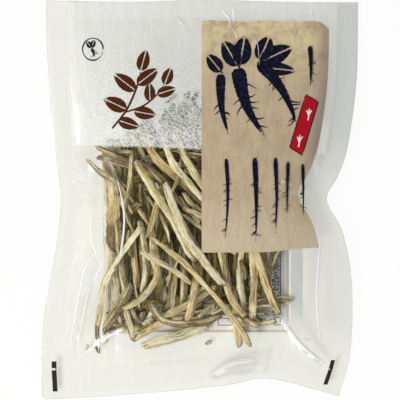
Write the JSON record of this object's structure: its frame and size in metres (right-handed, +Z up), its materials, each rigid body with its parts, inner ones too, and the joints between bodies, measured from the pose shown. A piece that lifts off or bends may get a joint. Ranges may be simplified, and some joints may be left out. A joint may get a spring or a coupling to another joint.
{
  "type": "bag of dried burdock root strips",
  "caption": "Sealed clear pouch lying on its back, filled with a loose layer of dried burdock root strips, with printed front panels and a paper label on the back.",
  "frame": {"origin": "middle of the pouch's footprint, on the surface that it lies on", "axes": "+X to the pouch's right, +Y to its top edge, +Z up out of its printed front"},
  "size_m": [0.16, 0.202, 0.019],
  "materials": {
    "printed_film": "thin clear glossy film, faintly milky, with an opaque kraft-brown panel, a mottled white paper-like panel and a red tag printed on it",
    "clear_film": "thin clear glossy film, faintly milky",
    "label_paper": "smooth white paper label with plain blue rules",
    "pale_strip": "dried root flesh, cream to straw, with fine grain along the strip",
    "tan_strip": "dried root flesh, tan, with fine grain along the strip and darker edges",
    "bark_strip": "dried root with its grey-brown wrinkled skin on"
  },
  "bodies": {
    "root": {"bark_strip_01": "bark_strip", "bark_strip_02": "bark_strip", "bark_strip_03": "bark_strip", "bark_strip_04": "bark_strip", "bark_strip_05": "bark_strip", "bark_strip_06": "bark_strip", "bark_strip_07": "bark_strip", "bark_strip_08": "bark_strip", "bark_strip_09": "bark_strip", "bark_strip_10": "bark_strip", "bark_strip_11": "bark_strip", "bark_strip_12": "bark_strip", "bark_strip_13": "bark_strip", "bark_strip_14": "bark_strip", "bark_strip_15": "bark_strip", "tan_strip_16": "tan_strip", "pale_strip_17": "pale_strip", "tan_strip_18": "tan_strip", "bark_strip_19": "bark_strip", "bark_strip_20": "bark_strip", "tan_strip_21": "tan_strip", "bark_strip_22": "bark_strip", "pale_strip_23": "pale_strip", "pale_strip_24": "pale_strip", "tan_strip_25": "tan_strip", "tan_strip_26": "tan_strip", "bark_strip_27": "bark_strip", "bark_strip_28": "bark_strip", "pale_strip_29": "pale_strip", "tan_strip_30": "tan_strip", "bark_strip_31": "bark_strip", "pale_strip_32": "pale_strip", "tan_strip_33": "tan_strip", "tan_strip_34": "tan_strip", "pale_strip_35": "pale_strip", "pale_strip_36": "pale_strip", "tan_strip_37": "tan_strip", "tan_strip_38": "tan_strip", "bark_strip_39": "bark_strip", "bark_strip_40": "bark_strip", "tan_strip_41": "tan_strip", "pale_strip_42": "pale_strip", "tan_strip_43": "tan_strip", "pale_strip_44": "pale_strip", "pale_strip_45": "pale_strip", "pale_strip_46": "pale_strip", "tan_strip_47": "tan_strip", "bark_strip_48": "bark_strip", "bark_strip_49": "bark_strip", "tan_strip_50": "tan_strip", "tan_strip_51": "tan_strip", "pale_strip_52": "pale_strip", "pale_strip_53": "pale_strip", "pale_strip_54": "pale_strip", "tan_strip_55": "tan_strip", "back_film": "clear_film", "front_film": "printed_film", "back_label": "label_paper"}
  },
  "joints": []
}
